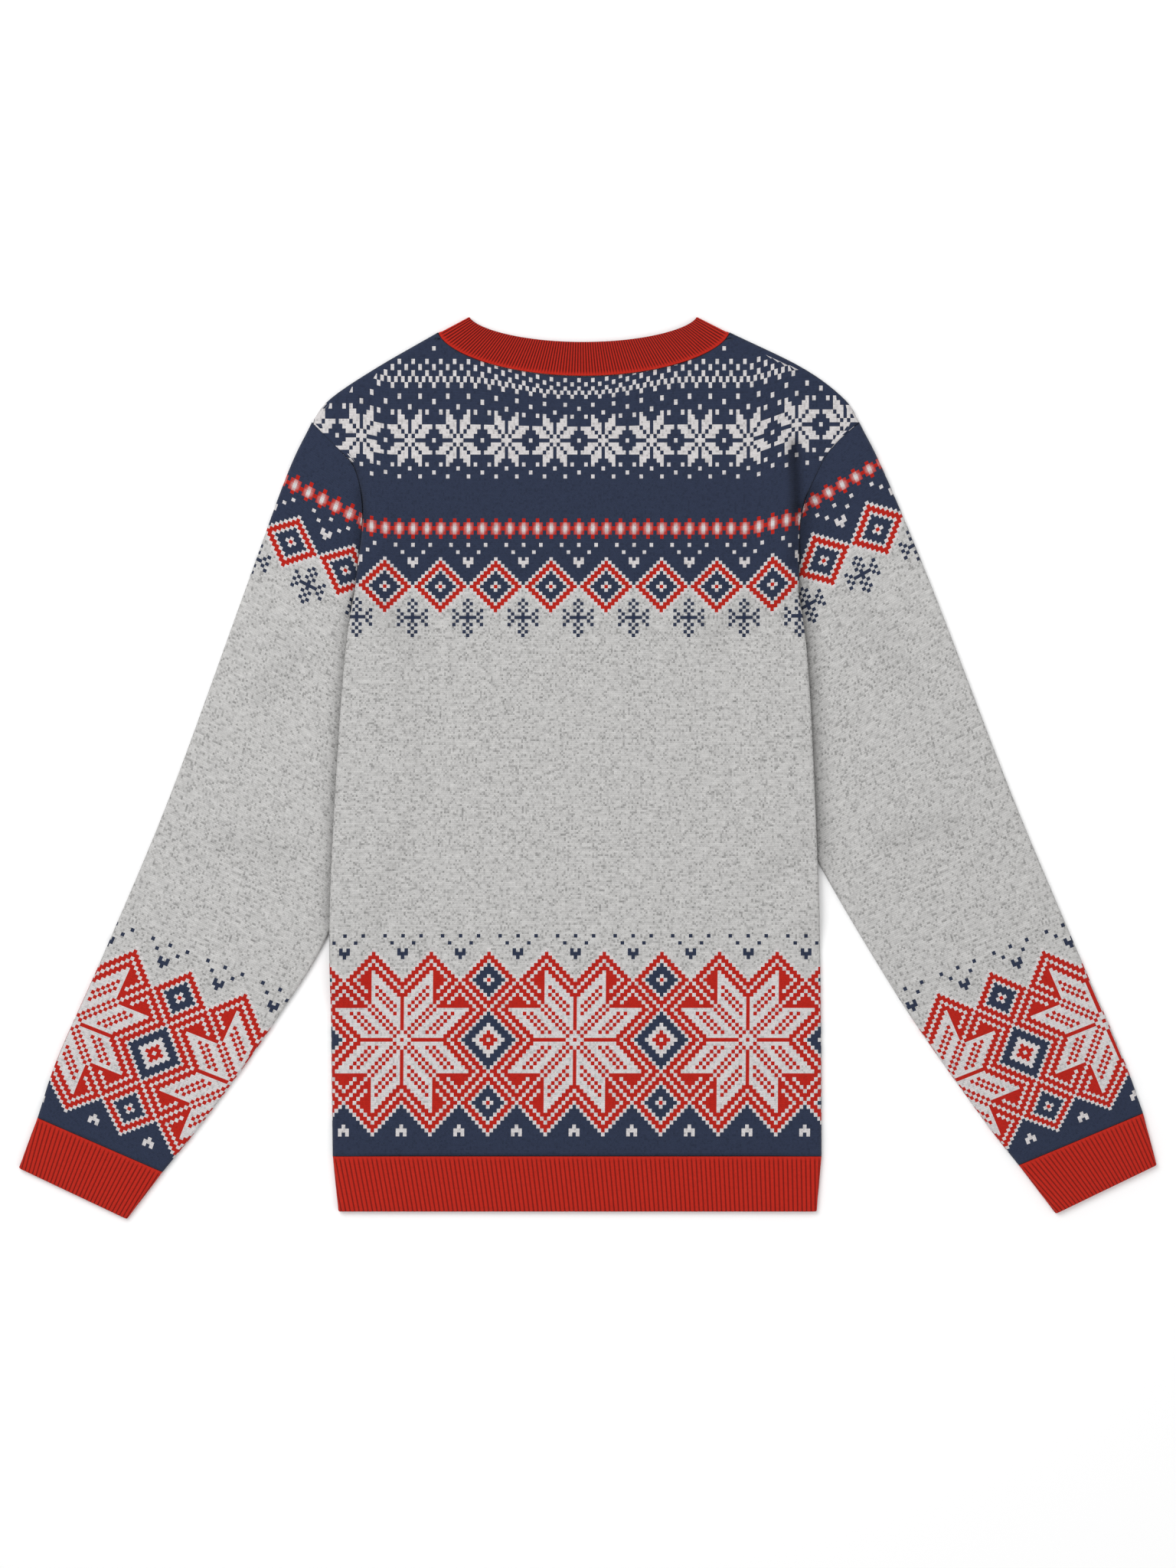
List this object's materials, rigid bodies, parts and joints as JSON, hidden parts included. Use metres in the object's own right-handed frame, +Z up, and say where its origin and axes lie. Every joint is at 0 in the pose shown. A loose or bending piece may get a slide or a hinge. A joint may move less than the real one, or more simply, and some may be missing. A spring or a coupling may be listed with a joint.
{
  "type": "christmas sweater",
  "caption": "Crew neck knitted jacquard sweater laid flat with its back up, long sleeves beside the body, rib neckband, cuffs and hem.",
  "frame": {"origin": "Centre of the bounding box in plan, on the surface that the sweater lies on", "axes": "+Y to the neck, +X to the wearer's right sleeve, +Z up out of the garment's back"},
  "size_m": [0.923, 0.7322, 0.0133],
  "materials": {
    "jacquard_knit": "matt fine knit with a figured pattern in navy, red and white on heather grey",
    "red_rib": "matt ribbed knit"
  },
  "bodies": {
    "root": {"back_panel": "jacquard_knit", "front_panel": "jacquard_knit", "sleeve_left": "jacquard_knit", "sleeve_right": "jacquard_knit", "neckband": "red_rib", "hem_band": "red_rib", "cuff_left": "red_rib", "cuff_right": "red_rib"}
  },
  "joints": []
}
